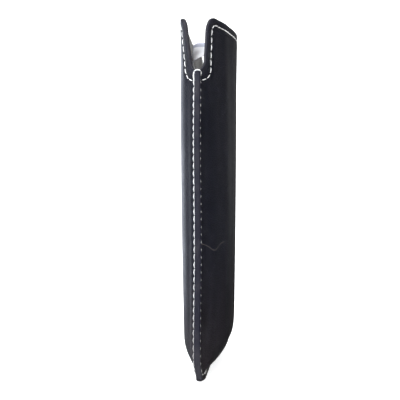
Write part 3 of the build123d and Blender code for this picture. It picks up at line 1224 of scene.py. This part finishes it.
@dataclass
class LiftRibbon:
    """The ribbon that lies along the back lining and stands edge-on to it at its free end."""

    back: PanelForm
    finish: bpy.types.Material
    width: float = 8.0 * MM
    thickness: float = 0.42 * MM
    clearance: float = 1.25 * MM
    foot: float = 10.0 * MM
    turn_start: float = 126.8 * MM
    turn_end: float = 134.0 * MM
    top: float = 136.6 * MM
    shift: float = 4.05 * MM
    lining_share: float = 0.898
    step: float = 0.7 * MM
    across: int = 16

    def _middle(self, z: np.ndarray) -> tuple:
        """Place of the ribbon's middle across the case, and how far it has turned, from 0 to 1."""
        stand = 0.06 * MM + self.lining_share * self.back.bow * self.back.swell(np.zeros_like(z), z)
        turned = smooth((z - self.turn_start) / (self.turn_end - self.turn_start))
        return stand - self.clearance - turned * self.shift, turned

    def build(self) -> bpy.types.Object:
        """Returns:
            The new object.
        """
        count = round((self.top - self.foot) / self.step)
        z = np.linspace(self.foot, self.top, count + 1)
        y, turned = self._middle(z)
        share = np.linspace(-1, 1, self.across + 1)
        angle = turned * math.pi / 2
        wide = np.stack([np.cos(angle), np.sin(angle)], axis=1)
        thin = np.stack([-np.sin(angle), np.cos(angle)], axis=1)
        curl = 0.45 * MM * turned * smooth((z - self.turn_end) / (self.top - self.turn_end))
        cup = curl[:, None] * (share[None, :] ** 2 - 0.35) + 0.12 * MM * np.sin(z / (5 * MM))[:, None]
        tip = self._tip(z, share)
        front, back = (self._face(y, z, wide, thin, share, cup, tip, half)
                       for half in (self.thickness / 2, -self.thickness / 2))
        made = closed_sheet("satin_lift_ribbon", front, back, self.finish, False)
        across = np.tile(np.abs(share), count + 1)
        left = np.repeat(self.top - z, self.across + 1)
        store(made, "across", np.concatenate([across, across]))
        store(made, "from_end", np.concatenate([left, left]))
        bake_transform(made)
        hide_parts("lift_ribbon")
        log.info("ribbon: %.0f mm long, %.0f mm wide", count * self.step / MM, self.width / MM)
        return made

    def _tip(self, z: np.ndarray, share: np.ndarray) -> np.ndarray:
        """Drop of the free end's two corners, which rounds it off."""
        near_top = smooth((z - self.top + 3 * MM) / (3 * MM))
        return near_top[:, None] * (1.6 * MM * np.maximum(np.abs(share) - 0.35, 0) ** 2 * 2)[None, :]

    def _face(self, y: np.ndarray, z: np.ndarray, wide: np.ndarray, thin: np.ndarray, share: np.ndarray,
              cup: np.ndarray, tip: np.ndarray, half: float) -> np.ndarray:
        """One face of the ribbon as a grid of points."""
        reach = share[None, :] * self.width / 2
        proud = cup + half
        x = wide[:, :1] * reach + thin[:, :1] * proud
        across = y[:, None] + wide[:, 1:] * reach + thin[:, 1:] * proud
        return np.stack([x, across, z[:, None] - tip], axis=-1)


# ---------------------------------------------------------------- the studio


@dataclass(frozen=True)
class Lamp:
    """A square soft light that faces the middle of the case."""

    name: str
    place: tuple
    size: float
    power: float
    tint: tuple = (1, 1, 1)


@dataclass
class Studio:
    """A plain pale sweep, soft light from the left and above, and the camera."""

    distance: float = 262.0 * MM
    yaw: float = 0.105
    eye: float = 69.0 * MM
    focal: float = 63.0
    floor_reach: float = 1.3
    floor_bend: float = 0.6
    wall_top: float = 2.6
    glow: float = 0.56
    surround: float = 0.07
    aim_height: float = 70.0 * MM
    lamps: tuple = (
        Lamp("key_left", (-0.30, 0.62, 0.40), 0.5, 5.0, (0.86, 0.92, 1.0)),
        Lamp("front_soft", (-0.72, 0.22, 0.34), 0.5, 4.2, (0.88, 0.93, 1.0)),
        Lamp("rim_left", (0.60, 0.36, 0.12), 0.4, 1.7, (0.82, 0.88, 1.0)),
        Lamp("rim_right", (0.62, -0.34, 0.16), 0.3, 0.10),
        Lamp("top_soft", (-0.15, 0.05, 0.75), 0.5, 3.2),
        Lamp("fill_right", (-0.40, -0.70, 0.30), 0.5, 0.15),
    )

    def build(self) -> None:
        """Sets up the floor, lights, world and camera."""
        self._sweep()
        for lamp in self.lamps:
            self._light(lamp)
        self._world()
        self._camera()

    def _sweep(self) -> None:
        """A round floor that turns up into a wall on every side."""
        angles = np.linspace(0, math.pi / 2, 14)
        curve = self.floor_bend
        reach = self.floor_reach + curve * np.concatenate([np.sin(angles), [1.0]])
        reach = np.concatenate([[0.05], reach])
        level = np.concatenate([[0.0], curve - curve * np.cos(angles), [self.wall_top]])
        around = 64
        turn = np.arange(around) * 2 * math.pi / around
        points = [(r * math.cos(a), r * math.sin(a), h) for r, h in zip(reach, level) for a in turn]
        faces = [[i * around + j, i * around + (j + 1) % around,
                  (i + 1) * around + (j + 1) % around, (i + 1) * around + j][::-1]
                 for i in range(len(reach) - 1) for j in range(around)]
        faces.append(list(range(around)))
        g = Graph("pale_sweep")
        finish = g.surface({"Base Color": colour(0.9, 0.9, 0.9), "Roughness": 0.9,
                            "Emission Color": colour(1, 1, 1), "Emission Strength": self.glow})
        made = mesh_object("pale_sweep", np.array(points), faces, finish)
        made.visible_glossy = False

    def _light(self, lamp: Lamp) -> None:
        """Hangs one lamp and turns it to the case."""
        data = bpy.data.lights.new(lamp.name, "AREA")
        data.size = lamp.size
        data.energy = lamp.power
        data.color = lamp.tint
        made = bpy.data.objects.new(lamp.name, data)
        made.location = lamp.place
        aim = Vector((0, 0, self.aim_height)) - Vector(lamp.place)
        made.rotation_euler = aim.to_track_quat("-Z", "Y").to_euler()
        bpy.context.scene.collection.objects.link(made)

    def _world(self) -> None:
        """An even pale surround."""
        world = bpy.data.worlds.new("pale_room")
        world.use_nodes = True
        ground = world.node_tree.nodes["Background"]
        ground.inputs["Color"].default_value = (1, 1, 1, 1)
        ground.inputs["Strength"].default_value = self.surround
        bpy.context.scene.world = world

    def _camera(self) -> None:
        """The camera, level with the case's middle and looking at its near seam."""
        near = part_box("seam_edge")[0].x
        data = bpy.data.cameras.new("camera")
        data.lens = self.focal
        data.sensor_width = 36.0
        data.shift_x = 0.005
        data.clip_start = 0.01
        made = bpy.data.objects.new("camera", data)
        aim = Vector((math.cos(self.yaw), math.sin(self.yaw), 0))
        made.location = Vector((near, 0, self.eye)) - aim * self.distance
        made.rotation_euler = aim.to_track_quat("-Z", "Y").to_euler()
        bpy.context.scene.collection.objects.link(made)
        bpy.context.scene.camera = made


def main() -> None:
    """Builds the case and the studio."""
    logging.basicConfig(level=logging.INFO, format="%(name)s: %(message)s")
    outline = Outline()
    leather, lining = LeatherFinish().material(), LiningFinish().material()
    board, edge = BoardFinish().material(), EdgeFinish().material()
    thread, satin = ThreadFinish().material(), RibbonFinish().material()
    front = PanelForm(Side.FRONT, outline, bow=11.0 * MM, foot_fullness=3.9, mouth_fullness=1.7,
                      foot_run=14.8 * MM, foot_roundness=0.56, taper=0.14, splay=3.1 * MM, board=0.50 * MM,
                      creases=((0.10 * MM, 330.0, 9.0, 0.4), (0.07 * MM, 610.0, -14.0, 1.9)))
    back = PanelForm(Side.BACK, outline, bow=8.3 * MM, foot_fullness=4.5, mouth_fullness=5.4,
                     foot_run=11.0 * MM, foot_roundness=0.49, taper=0.235, splay=5.0 * MM, board=0.70 * MM,
                     creases=((0.09 * MM, 290.0, 11.0, 2.2), (0.06 * MM, 540.0, -10.0, 0.3)))
    for form in (front, back):
        Panel(form, leather, lining, board, edge).build()
    SeamEdge(outline, edge).build()
    Sewing({Side.FRONT: front, Side.BACK: back}, outline, thread).build()
    LiftRibbon(back, satin).build()
    Studio().build()
    bpy.context.scene.view_settings.view_transform = "Standard"


if __name__ == "__main__":
    main()
